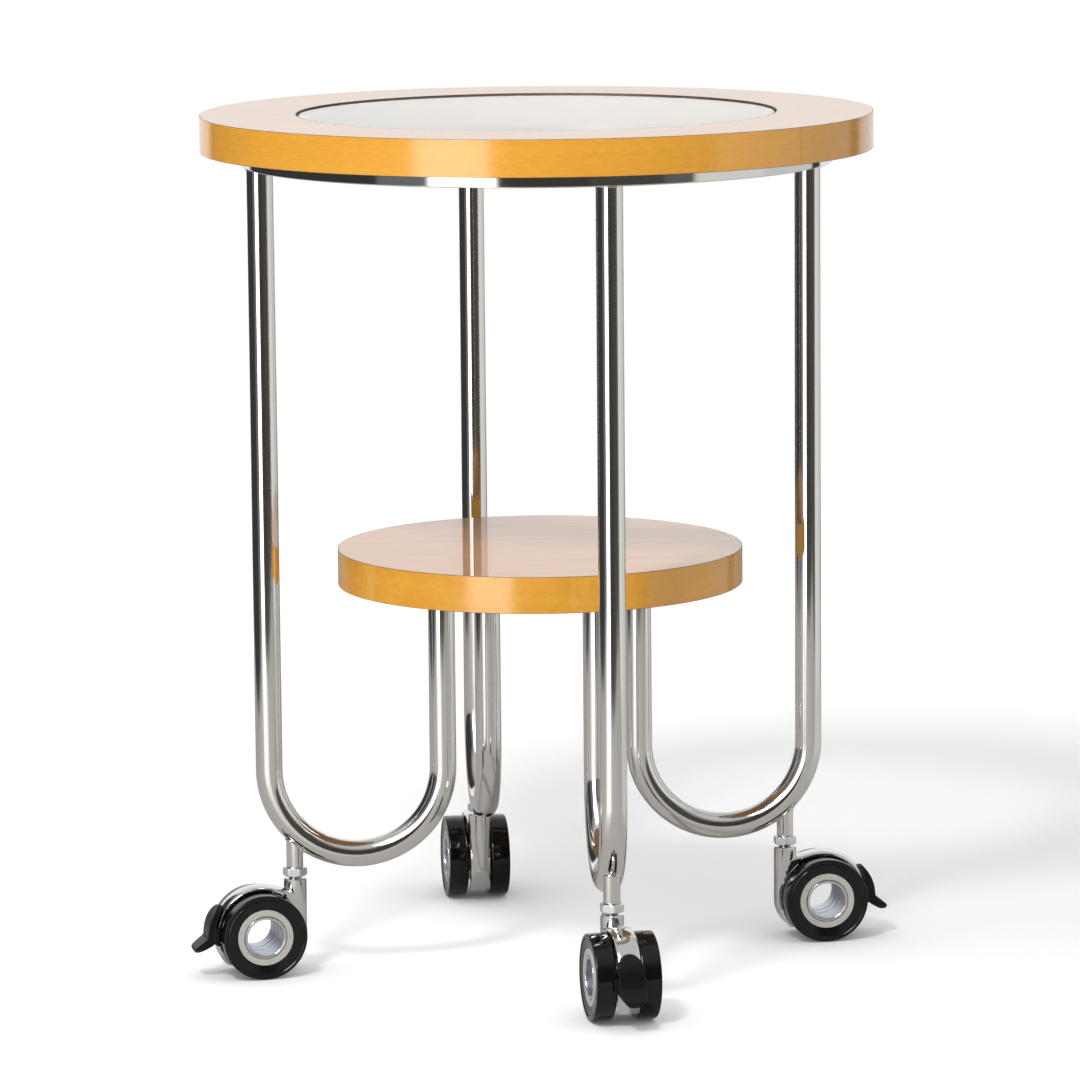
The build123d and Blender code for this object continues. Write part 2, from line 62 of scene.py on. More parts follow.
def add(tree, kind, inputs=None, **settings):
    """A node in a tree, with its settings and the values or links of its inputs."""
    node = tree.nodes.new(kind)
    for key, value in settings.items():
        setattr(node, key, value)
    for key, value in (inputs or {}).items():
        if isinstance(value, bpy.types.NodeSocket):
            tree.links.new(value, node.inputs[key])
        else:
            node.inputs[key].default_value = value
    return node


def maths(tree, operation, first, second=0.0, third=0.0):
    """One step of arithmetic on numbers or links."""
    inputs = {0: first, 1: second, 2: third}
    return add(tree, "ShaderNodeMath", inputs, operation=operation).outputs[0]


def vector_maths(tree, operation, first, second=(0, 0, 0)):
    """One step of arithmetic on vectors that gives a number."""
    inputs = {0: first, 1: second}
    return add(tree, "ShaderNodeVectorMath", inputs, operation=operation).outputs["Value"]


def from_to(tree, value, start, end, first, last):
    """What runs from first to last while the value runs from start to end."""
    inputs = {0: value, 1: start, 2: end, 3: first, 4: last}
    return add(tree, "ShaderNodeMapRange", inputs).outputs[0]


def ramp(tree, factor, stops):
    """Colour ramp from (place, colour) stops. A plain number is a grey."""
    node = add(tree, "ShaderNodeValToRGB", {0: factor})
    elements = node.color_ramp.elements
    while len(elements) < len(stops):
        elements.new(0.5)
    for element, (place, colour) in zip(elements, stops):
        element.position = place
        grey = isinstance(colour, (int, float))
        element.color = (colour, colour, colour, 1) if grey else (*colour, 1)
    return node.outputs[0]


def blended(tree, factor, first, second):
    """Mix of two colours, each a link or three numbers."""
    first = (*first, 1) if isinstance(first, tuple) else first
    second = (*second, 1) if isinstance(second, tuple) else second
    inputs = {0: factor, 6: first, 7: second}
    return add(tree, "ShaderNodeMix", inputs, data_type="RGBA").outputs[2]


def rays(tree):
    """Masks for what the camera sees, straight or through glass, and for reflections."""
    path = add(tree, "ShaderNodeLightPath").outputs
    seen = maths(tree, "MAXIMUM", path["Is Camera Ray"], path["Is Transmission Ray"])
    return seen, path["Is Glossy Ray"]


def round_camera(tree, place):
    """How far round a place lies (0.5 at the camera, 0 and 1 opposite) and its height."""
    axes = add(tree, "ShaderNodeSeparateXYZ", {0: place}).outputs
    toward = maths(tree, "MULTIPLY", axes["Y"], -1.0)
    angle = maths(tree, "ARCTAN2", axes["X"], toward)
    return maths(tree, "MULTIPLY_ADD", angle, 0.5 / math.pi, 0.5), axes["Z"]


def own_place(tree):
    """Place on the object, in its own axes."""
    return add(tree, "ShaderNodeTexCoord").outputs["Object"]


paper_half_width = 1.30
paper_front = -1.4
paper_back = 6.0
paper = bpy.data.meshes.new("paper_floor")
paper.from_pydata([
    (-paper_half_width, paper_front, 0),
    (paper_half_width, paper_front, 0),
    (paper_half_width, paper_back, 0),
    (-paper_half_width, paper_back, 0),
], [], [(0, 1, 2, 3)])
floor = bpy.data.objects.new("paper_floor", paper)
floor.matrix_world = facing
bpy.context.scene.collection.objects.link(floor)

# The paper's own light keeps it white for the camera. Round the table's shade it is lowered,
# and an occlusion mask takes it almost to nothing under what stands on it: painted shade that
# deepens the shadows. In reflections it shows only where the window and the screen light it, and more
# so further off: painted light.
shade_middle = facing @ Vector((0.36, 0.40, 0))
shade_from, shade_to = 0.3, 1.2
glow_in_shade, glow_outside = 0.62, 0.98
contact_reach = 0.10
contact_glow = 0.05
mirrored_from, mirrored_to = 0.3, 0.8
mirrored_far, mirrored_all_over = 0.75, 0.12
lit_paper = [(0.365, 0.0), (0.385, 1.0), (0.455, 1.0), (0.48, 0.0),
             (0.67, 0.0), (0.70, 0.35), (0.86, 0.35), (0.88, 0.0)]
paper_seen = (0.37, 0.37, 0.37)
paper_bounce = (0.66, 0.66, 0.66)
paper_mirrored = (0.40, 0.39, 0.375)

white_paper = bpy.data.materials.new("white_paper")
white_paper.use_nodes = True
tree = white_paper.node_tree
tree.nodes.clear()
seen, mirrored = rays(tree)
spot = add(tree, "ShaderNodeNewGeometry").outputs["Position"]
# Painted shade: less glow near the middle of the table's shadow.
from_shade = vector_maths(tree, "DISTANCE", spot, shade_middle)
far_glow = from_to(tree, from_shade, shade_from, shade_to, glow_in_shade, glow_outside)
# Painted contact shadow: the glow fades where something stands close.
near = add(tree, "ShaderNodeAmbientOcclusion", {"Distance": contact_reach}, samples=8).outputs["AO"]
near_glow = maths(tree, "MULTIPLY_ADD", near, 1 - contact_glow, contact_glow)
glow_seen = maths(tree, "MULTIPLY", seen, maths(tree, "MULTIPLY", far_glow, near_glow))
round_place, _ = round_camera(tree, own_place(tree))
from_middle = vector_maths(tree, "LENGTH", spot)
far_side = from_to(tree, from_middle, mirrored_from, mirrored_to, 0.0, mirrored_far)
# Painted light in reflections: the bands of paper that the window and the screen light.
lit_round = ramp(tree, round_place, lit_paper)
spread_light = maths(tree, "MULTIPLY_ADD", lit_round, far_side, mirrored_all_over)
glow_mirrored = maths(tree, "MULTIPLY", mirrored, spread_light)
glow = add(tree, "ShaderNodeEmission", {"Strength": maths(tree, "ADD", glow_seen, glow_mirrored)})
paper_grey = blended(tree, seen, blended(tree, mirrored, paper_bounce, paper_mirrored), paper_seen)
matt = add(tree, "ShaderNodeBsdfDiffuse", {"Color": paper_grey})
both = add(tree, "ShaderNodeAddShader", {0: glow.outputs[0], 1: matt.outputs[0]})
add(tree, "ShaderNodeOutputMaterial", {"Surface": both.outputs[0]})
floor.data.materials.append(white_paper)

# Room. What the plating and the lacquer mirror, by the angle round from the
# camera: a bright window at its left with a softbox above, dark walls, a pale
# screen at its right, and the white backdrop behind the table.
window_left, window_right = -42, -15.5
room_bands = [
    (-180, (1.0, 1.0, 1.0)),
    (-148, (0.045, 0.045, 0.046)),
    (-64, (0.17, 0.18, 0.20)),
    (window_left, (1.0, 1.0, 1.0)),
    (window_right, (0.055, 0.052, 0.048)),
    (20, (0.075, 0.071, 0.064)),
    (50, (0.14, 0.135, 0.125)),
    (63, (0.84, 0.825, 0.80)),
    (98, (0.73, 0.73, 0.715)),
    (134, (0.05, 0.05, 0.05)),
    (143, (1.0, 1.0, 1.0)),
]
band_blur = 0.9
window_blur = 0.0025
window_strength = 2.6
softbox_strength = 24.0
ceiling_grey = (0.62, 0.62, 0.62)
soft_sky_greys = [(0.0, 0.45), (0.5, 0.5), (0.75, 0.34), (1.0, 0.26)]


def on_ramp(degrees):
    """Place on a ramp of an angle round from the camera."""
    return (degrees + 180) / 360


room = bpy.data.worlds.new("room")
bpy.context.scene.world = room
room.use_nodes = True
tree = room.node_tree
tree.nodes.clear()
direction = add(tree, "ShaderNodeTexCoord").outputs["Generated"]
turned_to_camera = add(tree, "ShaderNodeVectorRotate", {"Vector": direction, "Angle": camera_turn},
                       rotation_type="Z_AXIS")
round_place, height = round_camera(tree, turned_to_camera.outputs[0])
stops = [(0.0, room_bands[0][1])]
for (_, before), (start, colour) in zip(room_bands, room_bands[1:]):
    stops.append((on_ramp(start - band_blur), before))
    stops.append((on_ramp(start + band_blur), colour))
bands = ramp(tree, round_place, stops)
in_window = ramp(tree, round_place, [
    (on_ramp(window_left) - window_blur, 0.0), (on_ramp(window_left) + window_blur, 1.0),
    (on_ramp(window_right) - window_blur, 1.0), (on_ramp(window_right) + window_blur, 0.0)])
below_window_top = ramp(tree, height, [(0.0, 1.0), (0.66, 1.0), (0.72, 0.0)])
softbox_height = ramp(tree, height, [(0.50, 0.0), (0.53, 1.0), (0.84, 1.0), (0.87, 0.0)])
window = maths(tree, "MULTIPLY", in_window, below_window_top)
softbox = maths(tree, "MULTIPLY", in_window, softbox_height)
window_gain = maths(tree, "MULTIPLY_ADD", window, window_strength, 1.0)
room_gain = maths(tree, "MULTIPLY_ADD", softbox, softbox_strength, window_gain)
ceiling = ramp(tree, height, [(0.0, 0.0), (0.5, 0.0), (0.8, 1.0)])
walls = blended(tree, ceiling, bands, ceiling_grey)
mirrored_room = add(tree, "ShaderNodeBackground", {"Color": walls, "Strength": room_gain})
soft_sky = ramp(tree, maths(tree, "MULTIPLY_ADD", height, 0.5, 0.5), soft_sky_greys)
soft_light = add(tree, "ShaderNodeBackground", {"Color": soft_sky, "Strength": 1.0})
backdrop = add(tree, "ShaderNodeBackground", {"Color": (1, 1, 1, 1), "Strength": 1.0})
seen, mirrored = rays(tree)
lit = add(tree, "ShaderNodeMixShader",
          {0: mirrored, 1: soft_light.outputs[0], 2: mirrored_room.outputs[0]})
shown = add(tree, "ShaderNodeMixShader", {0: seen, 1: lit.outputs[0], 2: backdrop.outputs[0]})
add(tree, "ShaderNodeOutputWorld", {"Surface": shown.outputs[0]})

table_middle = Vector((0, 0, 0.35))


def lamp(name, round_from_camera, elevation, distance, size, power):
    """Square area lamp aimed at the middle of the table. It doesn't show in reflections."""
    light = bpy.data.lights.new(name, "AREA")
    light.shape = "SQUARE"
    light.size = size
    light.energy = power
    thing = bpy.data.objects.new(name, light)
    bpy.context.scene.collection.objects.link(thing)
    turn = math.radians(round_from_camera)
    rise = math.radians(elevation)
    flat = distance * math.cos(rise)
    away = facing @ Vector((flat * math.sin(turn), -flat * math.cos(turn), distance * math.sin(rise)))
    aim = (-away).to_track_quat("-Z", "Y")
    thing.matrix_world = Matrix.Translation(table_middle + away) @ aim.to_matrix().to_4x4()
    thing.visible_glossy = False


lamp("window_lamp", round_from_camera=-25, elevation=48, distance=3.2, size=0.45, power=88)
lamp("screen_lamp", round_from_camera=80, elevation=20, distance=3.0, size=1.6, power=5)

# Support ring. A flat steel bar, 30 by 10 mm, rolled into a ring, welded
# shut, ground and chromed. Eight countersunk screws hold it up to the top.
ring_outer = 0.220
ring_inner = 0.190
ring_bottom = 0.603
ring_top = 0.613
ring_corner = 0.0012
ring_top_corner = 0.0003
ring_joint_angle = -43.8
crease_angle = 32

# Where the ends of a ring or band lie, in degrees round from its joint.
joint_starts, joint_ends = 0.02, 359.9799


def rounded(corners, steps=5):
    """Outline through (x, y, radius) corners, each rounded by its radius."""
    points = []
    for here in range(len(corners)):
        x, y, radius = corners[here]
        corner = Vector((x, y))
        before = Vector(corners[here - 1][:2]) - corner
        after = Vector(corners[(here + 1) % len(corners)][:2]) - corner
        if radius <= 0:
            points.append(corner)
            continue
        half = before.angle(after) / 2
        reach = min(radius / math.tan(half), 0.49 * before.length, 0.49 * after.length)
        start = corner + before.normalized() * reach
        end = corner + after.normalized() * reach
        for step in range(steps + 1):
            t = step / steps
            points.append(start * (1 - t) ** 2 + corner * 2 * t * (1 - t) + end * t**2)
    return points


def skinned(name, rows, ring_rows=True, crease=crease_angle):
    """Object skinned over closed rows of points, smooth but for edges over the crease angle."""
    form = bmesh.new()
    grid = [[form.verts.new(point) for point in row] for row in rows]
    for i in range(len(grid) if ring_rows else len(grid) - 1):
        row, following = grid[i], grid[(i + 1) % len(grid)]
        for j in range(len(row)):
            k = (j + 1) % len(row)
            form.faces.new((row[j], row[k], following[k], following[j]))
    bmesh.ops.remove_doubles(form, verts=form.verts, dist=1e-7)
    bmesh.ops.dissolve_degenerate(form, edges=form.edges, dist=1e-8)
    bmesh.ops.recalc_face_normals(form, faces=form.faces)
    mesh = bpy.data.meshes.new(name)
    form.to_mesh(mesh)
    form.free()
    for face in mesh.polygons:
        face.use_smooth = True
    mesh.set_sharp_from_angle(angle=math.radians(crease))
    piece = bpy.data.objects.new(name, mesh)
    bpy.context.scene.collection.objects.link(piece)
    even_normals(piece)
    return piece


def even_normals(piece):
    """Flat faces keep their own normals up to the rounded edges beside them."""
    evener = piece.modifiers.new("even_normals", "WEIGHTED_NORMAL")
    evener.keep_sharp = True


def turned(name, outline, around, start=0.0, sweep=360.0):
    """Piece turned about the Z axis from an outline of (radius, height) points."""
    whole = sweep >= 360
    rows = []
    for step in range(around if whole else around + 1):
        angle = math.radians(start + sweep * step / around)
        rows.append([(r * math.cos(angle), r * math.sin(angle), z) for r, z in outline])
    piece = skinned(name, rows, ring_rows=whole)
    if not whole:
        cap_ends(piece)
    return piece


def cap_ends(piece):
    """Close the open ends of a piece."""
    form = bmesh.new()
    form.from_mesh(piece.data)
    open_edges = [edge for edge in form.edges if edge.is_boundary]
    bmesh.ops.holes_fill(form, edges=open_edges)
    bmesh.ops.recalc_face_normals(form, faces=form.faces)
    form.to_mesh(piece.data)
    form.free()
    piece.data.set_sharp_from_angle(angle=math.radians(crease_angle))


def jointed(name, outline, around, joint_angle):
    """Ring turned about the Z axis, open by a hair where its ends meet."""
    return turned(name, outline, around, joint_angle + joint_starts, joint_ends - joint_starts)


NUMBER, COLOUR, DIRECTION = "NodeSocketFloat", "NodeSocketColor", "NodeSocketVector"


def effect(name, sockets_in, sockets_out):
    """An empty shader group with named inputs and outputs, and its two ends."""
    group = bpy.data.node_groups.new(name, "ShaderNodeTree")
    for label, kind, value in sockets_in:
        socket = group.interface.new_socket(label, in_out="INPUT", socket_type=kind)
        if value is not None:
            socket.default_value = value
    for label, kind in sockets_out:
        group.interface.new_socket(label, in_out="OUTPUT", socket_type=kind)
    given = group.nodes.new("NodeGroupInput").outputs
    result = group.nodes.new("NodeGroupOutput").inputs
    return group, given, result


def noise(tree, place, scale, detail, **others):
    """Noise over a place."""
    inputs = {"Vector": place, "Scale": scale, "Detail": detail, **others}
    return add(tree, "ShaderNodeTexNoise", inputs).outputs[0]


def scaled(tree, place, scale):
    """A place with each axis scaled on its own."""
    return add(tree, "ShaderNodeMapping", {"Vector": place, "Scale": scale}).outputs[0]


polish_marks, given, result = effect(
    "polish_marks",
    [("Smoothness", NUMBER, 0.06), ("Spread", NUMBER, 0.04), ("Scale", NUMBER, 60.0)],
    [("Roughness", NUMBER), ("Height", NUMBER), ("Cloud", NUMBER)])
place = own_place(polish_marks)
cloud = noise(polish_marks, place, given["Scale"], 3.0)
hairlines = noise(polish_marks, scaled(polish_marks, place, (900, 900, 60)), 1.0, 2.0)
varied = maths(polish_marks, "MULTIPLY_ADD", cloud, given["Spread"], given["Smoothness"])
polish_marks.links.new(varied, result["Roughness"])
polish_marks.links.new(hairlines, result["Height"])
polish_marks.links.new(cloud, result["Cloud"])

# Mask along edges, from the Bevel node and broken up by noise. The metals, the hub and the lever take
# a lighter colour there, a painted highlight; the woods take their edge colour.
edge_wear_and_highlight, given, result = effect(
    "edge_wear_and_highlight",
    [("Width", NUMBER, 0.0006), ("Breakup", NUMBER, 300.0)],
    [("Mask", NUMBER)])
eased = add(edge_wear_and_highlight, "ShaderNodeBevel", {"Radius": given["Width"]}, samples=4).outputs[0]
flat = add(edge_wear_and_highlight, "ShaderNodeNewGeometry").outputs["Normal"]
turned_away = maths(edge_wear_and_highlight, "SUBTRACT", 1.0, vector_maths(edge_wear_and_highlight, "DOT_PRODUCT", eased, flat))
patches = noise(edge_wear_and_highlight, own_place(edge_wear_and_highlight), given["Breakup"], 2.0)
strong = maths(edge_wear_and_highlight, "MULTIPLY", turned_away, 6.0)
mask = add(edge_wear_and_highlight, "ShaderNodeClamp", {0: maths(edge_wear_and_highlight, "MULTIPLY", strong, patches)})
edge_wear_and_highlight.links.new(mask.outputs[0], result["Mask"])


def used(tree, group, **values):
    """A shared effect placed in a material, with its values."""
    inputs = {label.replace("_", " "): value for label, value in values.items()}
    return add(tree, "ShaderNodeGroup", inputs, node_tree=group).outputs


def finish(name, **plain):
    """A material with a Principled shader and its plain values."""
    material = bpy.data.materials.new(name)
    material.use_nodes = True
    tree = material.node_tree
    shader = tree.nodes["Principled BSDF"]
    for label, value in plain.items():
        shader.inputs[label.replace("_", " ")].default_value = value
    return material, tree, shader.inputs


def bump(tree, inputs, height, distance):
    """Fine relief, so many metres high."""
    node = add(tree, "ShaderNodeBump", {"Height": height, "Distance": distance, "Strength": 1.0})
    tree.links.new(node.outputs[0], inputs["Normal"])


def plating(name, colour, edge_highlight_colour, smoothness, spread, mark_depth, scale=60.0):
    """Plated or polished metal: cloudy polish, hairlines, and a painted highlight, a lighter colour
    along its edges.
    """
    material, tree, inputs = finish(name, Metallic=1.0)
    marks = used(tree, polish_marks, Smoothness=smoothness, Spread=spread, Scale=scale)
    edge_mask = used(tree, edge_wear_and_highlight, Width=0.0005)
    clouded = tuple(0.96 * part for part in colour)
    shade = blended(tree, marks["Cloud"], clouded, colour)
    tree.links.new(blended(tree, edge_mask["Mask"], shade, edge_highlight_colour), inputs["Base Color"])
    tree.links.new(marks["Roughness"], inputs["Roughness"])
    bump(tree, inputs, marks["Height"], mark_depth)
    return material


chrome = plating("chrome", (0.77, 0.75, 0.725), (0.87, 0.85, 0.82),
                 smoothness=0.08, spread=0.03, mark_depth=0.0000002)
ring_chrome = plating("ring_chrome", (0.73, 0.72, 0.70), (0.84, 0.83, 0.81),
                      smoothness=0.05, spread=0.03, mark_depth=0.0000006)
ring_inside = plating("ring_inside", (0.74, 0.73, 0.72), (0.82, 0.81, 0.80),
                      smoothness=0.26, spread=0.10, mark_depth=0.000002)
screw_steel = plating("screw_steel", (0.55, 0.54, 0.52), (0.7, 0.7, 0.68),
                      smoothness=0.2, spread=0.12, mark_depth=0.000004)


def dress(piece, material):
    """Give a piece its material alone."""
    piece.data.materials.clear()
    piece.data.materials.append(material)
    return piece


def stands_for(piece, body, slot, *nodes):
    """The piece rides on a body and is shown instead of CAD nodes."""
    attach(piece, body)
    if nodes:
        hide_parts(*nodes)
    return piece


def rounded_shading(node, material, edge=0.00012):
    """A CAD node kept as it is, with smooth shading, softened edges and a finish."""
    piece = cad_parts[node]
    for face in piece.data.polygons:
        face.use_smooth = True
    weld = piece.modifiers.new("weld", "WELD")
    weld.merge_threshold = 1e-6
    soft = piece.modifiers.new("soft_edges", "BEVEL")
    soft.width = edge
    soft.segments = 2
    soft.limit_method = "ANGLE"
    soft.angle_limit = math.radians(35)
    even_normals(piece)
    return dress(piece, material)


ring_section = rounded([
    (ring_inner, ring_bottom, ring_corner),
    (ring_outer, ring_bottom, ring_corner),
    (ring_outer, ring_top, ring_top_corner),
    (ring_inner, ring_top, ring_top_corner),
])
support_ring = dress(jointed("support_ring_visual", ring_section, 256, ring_joint_angle), ring_chrome)
support_ring.data.materials.append(ring_inside)
for face in support_ring.data.polygons:
    if face.center.xy.length < ring_inner + 0.0002:
        face.material_index = 1
stands_for(support_ring, "table", "chrome", "support_ring")
rounded_shading("ring_screws", screw_steel)

# Legs. Four steel tubes, 20 mm across and 1.5 mm thick, each bent cold into a
# J and chromed. The long limb is welded under the ring; the short one comes up
# under the shelf. The bend's inside keeps faint ripples from the bender.
tube_radius = 0.010
tube_bore = 0.0085
outer_limb = 0.207
inner_limb = 0.077
leg_offset = 0.035
bend_centre_z = 0.154
bend_radius = (outer_limb - inner_limb) / 2
bend_centre_x = (outer_limb + inner_limb) / 2
shelf_underside_z = 0.287
tube_around = 72
ripple_depth = 0.00016
ripple_middle, ripple_reach = -0.012, 0.013
ripple_length = 0.0011
ring_weld_size = 0.0007
ring_weld_sunk = 0.0002

# By leg: the angle it stands at and how far its caster is swivelled, in degrees.
legs = {"right": (0.0, 5.5), "back": (90.0, 3.5), "left": (180.0, 10.5), "front": (270.0, 7.0)}


def beside_leg(leg_angle, along=0.0):
    """Place beside a leg: turned to it, out along it, and across by the pinwheel's offset."""
    turn = Matrix.Rotation(math.radians(leg_angle), 4, "Z")
    return turn @ Matrix.Translation((along, leg_offset, 0))


def leg_stations():
    """Points down the leg's centre line, with the direction out of the bend at each."""
    stations = []
    for step in range(13):
        z = ring_bottom + (bend_centre_z - ring_bottom) * step / 12
        stations.append((Vector((outer_limb, 0, z)), Vector((1, 0, 0))))
    for step in range(1, 96):
        angle = -math.pi * step / 96
        away = Vector((math.cos(angle), 0, math.sin(angle)))
        stations.append((Vector((bend_centre_x, 0, bend_centre_z)) + bend_radius * away, away))
    for step in range(7):
        z = bend_centre_z + (shelf_underside_z - bend_centre_z) * step / 6
        stations.append((Vector((inner_limb, 0, z)), Vector((-1, 0, 0))))
    return stations


def ripple(centre, turn):
    """How far the wall stands in, by its place on the line and round the tube."""
    if centre.x < bend_centre_x:
        return 0.0
    rise = centre.z - bend_centre_z
    inside = max(0.0, -math.cos(turn)) ** 3
    fading = math.exp(-((rise - ripple_middle) / ripple_reach) ** 2)
    return -ripple_depth * inside * fading * (0.5 + 0.5 * math.cos(rise / ripple_length))


def steps_round(count):
    """Angles of equal steps round a circle."""
    return [2 * math.pi * step / count for step in range(count)]


def leg_rows(radius, rippled):
    """Rings of points of the tube's wall at one radius, all down the leg."""
    rows = []
    for centre, away in leg_stations():
        row = []
        for turn in steps_round(tube_around):
            reach = radius + (ripple(centre, turn) if rippled else 0.0)
            row.append(centre + reach * (math.cos(turn) * away + math.sin(turn) * Vector((0, 1, 0))))
        rows.append(row)
    return rows


def level_circle(x, z, radius, around=tube_around):
    """Closed level line of (point, outward) pairs."""
    circle = []
    for turn in steps_round(around):
        outward = Vector((math.cos(turn), math.sin(turn), 0))
        circle.append((Vector((x, 0, z)) + radius * outward, outward))
    return circle


def weld_bead(name, circle, bead_radius, leg_angle):
    """Round bead of weld along a closed line of (point, outward) pairs, chromed over."""
    rows = []
    for point, outward in circle:
        rows.append([
            point + bead_radius * (math.cos(turn) * outward + math.sin(turn) * Vector((0, 0, 1)))
            for turn in steps_round(12)])
    piece = skinned(name, rows)
    piece.data.transform(beside_leg(leg_angle))
    dress(piece, chrome)
    return stands_for(piece, "table", "chrome")


for name, (leg_angle, _) in legs.items():
    walls = leg_rows(tube_radius, rippled=True) + leg_rows(tube_bore, rippled=False)[::-1]
    leg = skinned(f"leg_{name}_visual", walls)
    leg.data.transform(beside_leg(leg_angle))
    dress(leg, chrome)
    stands_for(leg, "table", "chrome", f"leg_tube_{name}")
    joint = level_circle(outer_limb, ring_bottom, tube_radius - ring_weld_sunk)
    weld_bead(f"ring_weld_{name}", joint, ring_weld_size, leg_angle)

# Sockets. A turned steel bush stands in a hole in each bend, brazed in with a
# smooth fillet and chromed over. It is tapped from below for the caster.
socket_x = 0.189
socket_radius = 0.00625
socket_bore = 0.0050
socket_bottom = 0.0798
socket_top = 0.1100
braze_size = 0.0009


def round_socket():
    """The line where the socket comes out of the bend's underside."""
    circle = level_circle(socket_x, 0, socket_radius, around=96)
    for point, _ in circle:
        half = math.sqrt(tube_radius**2 - point.y**2)
        reach = math.sqrt((bend_radius + half) ** 2 - (point.x - bend_centre_x) ** 2)
        point.z = bend_centre_z - reach
    return circle


socket_section = rounded([
    (socket_bore, socket_bottom, 0.0001),
    (socket_radius, socket_bottom, 0.0006),
    (socket_radius, socket_top, 0.0004),
    (socket_bore, socket_top, 0.0),
])
for name, (leg_angle, _) in legs.items():
    socket = turned(f"socket_{name}_visual", socket_section, 64)
    socket.data.transform(beside_leg(leg_angle, along=socket_x))
    dress(socket, chrome)
    stands_for(socket, "table", "chrome", f"caster_socket_{name}")
    weld_bead(f"socket_braze_{name}", round_socket(), braze_size, leg_angle)

# Top. A 27 mm board with a round opening and a ledge, veneered, with a 0.8 mm
# band of the same wood glued round its edges and lacquered. The outer band's
# ends meet in a butt joint at the right of the front.
top_radius = 0.250
top_bottom = 0.613
top_z = 0.640
band = 0.0008
opening = 0.178
ledge = 0.168
ledge_z = 0.632
band_joint_angle = -45.5
top_around = 256
band_around = 288
veneer_edge = 0.00012
band_corner = 0.0005
dark_edge = 0.0006

wood_grain, given, result = effect(
    "wood_grain",
    [("Place", DIRECTION, None),
     ("Light", COLOUR, (0.9, 0.45, 0.05, 1)), ("Dark", COLOUR, (0.7, 0.3, 0.02, 1)),
     ("Pore Depth", NUMBER, 0.5), ("Blotches", NUMBER, 0.6)],
    [("Colour", COLOUR), ("Fibre", NUMBER), ("Height", NUMBER)])
figure_place = scaled(wood_grain, given["Place"], (2.5, 90.0, 90.0))
figure = noise(wood_grain, figure_place, 1.0, 4.0, Roughness=0.55, Distortion=0.4)
fibre_place = scaled(wood_grain, given["Place"], (95.0, 620.0, 620.0))
fibres = noise(wood_grain, fibre_place, 1.0, 3.0, Roughness=0.6)
pore_place = scaled(wood_grain, given["Place"], (230.0, 1700.0, 1700.0))
pore_mask = ramp(wood_grain, noise(wood_grain, pore_place, 1.0, 1.0), [(0.60, 0.0), (0.68, 1.0)])
fine_streaks = maths(wood_grain, "MULTIPLY", fibres, 0.55)
streaks = maths(wood_grain, "MULTIPLY_ADD", figure, 0.45, fine_streaks)
tone = ramp(wood_grain, streaks, [(0.30, 0.0), (0.70, 1.0)])
streaked = blended(wood_grain, tone, given["Dark"], given["Light"])
stain = noise(wood_grain, given["Place"], 22.0, 5.0)
blotch_mask = ramp(wood_grain, stain, [(0.52, 0.0), (0.72, 1.0)])
pore_shade = maths(wood_grain, "MULTIPLY", pore_mask, given["Pore Depth"])
blotch_shade = maths(wood_grain, "MULTIPLY", blotch_mask, given["Blotches"])
deeper = maths(wood_grain, "MAXIMUM", pore_shade, blotch_shade)
wood_grain.links.new(blended(wood_grain, deeper, streaked, given["Dark"]), result["Colour"])
wood_grain.links.new(fibres, result["Fibre"])
sunk = maths(wood_grain, "MULTIPLY_ADD", pore_mask, -0.5, fibres)
wood_grain.links.new(sunk, result["Height"])


def from_axis(tree, axes):
    """Distance from the Z axis."""
    flat = add(tree, "ShaderNodeCombineXYZ", {0: axes[0], 1: axes[1]}).outputs[0]
    return vector_maths(tree, "LENGTH", flat)


def lacquered_wood(name, light, dark, edge, bump_depth, roughness,
                   bent=True, coat=0.0, ior=1.45, pores=0.45):
    """Lacquered wood. Its grain runs straight along X, or round the Z axis where it is bent."""
    material, tree, inputs = finish(name, IOR=ior, Coat_Weight=coat, Coat_Roughness=0.02, Coat_IOR=1.5)
    place = own_place(tree)
    if bent:
        axes = add(tree, "ShaderNodeSeparateXYZ", {0: place}).outputs
        angle = maths(tree, "ARCTAN2", axes[1], axes[0])
        run = maths(tree, "MULTIPLY", angle, top_radius)
        along_band = {0: run, 1: from_axis(tree, axes), 2: axes[2]}
        place = add(tree, "ShaderNodeCombineXYZ", along_band).outputs[0]
    grain = used(tree, wood_grain, Place=place, Light=(*light, 1), Dark=(*dark, 1), Pore_Depth=pores)
    edge_mask = used(tree, edge_wear_and_highlight, Width=0.0006)
    tree.links.new(blended(tree, edge_mask["Mask"], grain["Colour"], edge), inputs["Base Color"])
    tree.links.new(maths(tree, "MULTIPLY_ADD", grain["Fibre"], 0.16, roughness), inputs["Roughness"])
    bump(tree, inputs, grain["Height"], bump_depth)
    return material


veneer_wood = lacquered_wood("veneer_wood", (0.635, 0.295, 0.09), (0.42, 0.175, 0.043),
                             edge=(0.30, 0.15, 0.05), bump_depth=0.000008, roughness=0.28,
                             bent=False, coat=0.82)
band_wood = lacquered_wood("band_wood", (0.90, 0.44, 0.055), (0.74, 0.33, 0.034),
                           edge=(0.40, 0.20, 0.06), bump_depth=0.00005, roughness=0.06,
                           ior=1.72, pores=0.7)
band_edge = lacquered_wood("band_edge", (0.24, 0.14, 0.075), (0.16, 0.09, 0.05),
                           edge=(0.30, 0.19, 0.11), bump_depth=0.00002, roughness=0.2)
